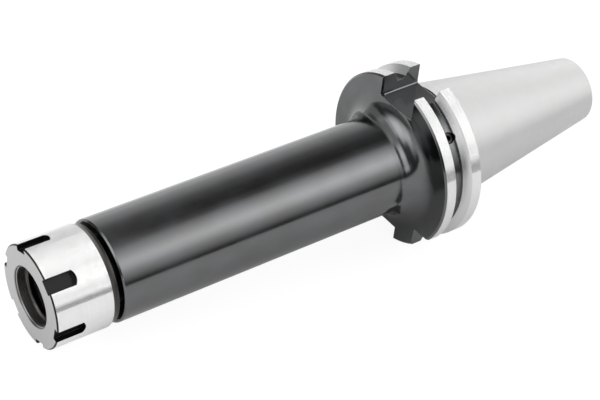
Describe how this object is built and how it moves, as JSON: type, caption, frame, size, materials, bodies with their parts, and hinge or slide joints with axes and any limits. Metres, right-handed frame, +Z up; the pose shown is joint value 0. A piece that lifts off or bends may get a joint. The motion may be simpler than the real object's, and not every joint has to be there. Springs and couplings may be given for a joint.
{
  "type": "collet chuck holder",
  "caption": "Steep-taper tool holder with a gripper flange, a long slender body and a slotted clamping nut that closes a collet through a ball-borne pressure ring.",
  "frame": {"origin": "middle of the footprint's bounding box on the surface the holder lies on", "axes": "+Z up; +X from the taper's small end towards the nut, along the tool axis's shadow, the axis itself dipping 5.36 degrees towards the nut; +Y across"},
  "size_m": [0.23, 0.0636, 0.0626],
  "materials": {
    "blackened_steel": "black oxide, semi-gloss; taper and flange lands ground bright",
    "ground_steel": "ground",
    "bright_steel": "satin",
    "ball_steel": "polished",
    "black_oxide": "black oxide"
  },
  "bodies": {
    "holder": {"holder_body": "blackened_steel", "groove_screws": "black_oxide"},
    "ring": {"pressure_ring": "bright_steel"},
    "nut": {"clamping_nut": "ground_steel", "bearing_balls": "ball_steel"}
  },
  "joints": [
    {"name": "nut_advance", "type": "slide", "parent": "holder", "child": "ring", "axis": [0.9956, 0, -0.0934], "range_m": [-0.00151, 0.00601]},
    {"name": "nut_turn", "type": "hinge", "parent": "ring", "child": "nut", "pos_m": [0.1005, 0, 0.0186], "axis": [0.9956, 0, -0.0934], "range_deg": [-360, 1440]}
  ],
  "couplings": [
    {"joint": "nut_advance", "follows": "nut_turn", "m_per_rad": 0.00023873}
  ]
}
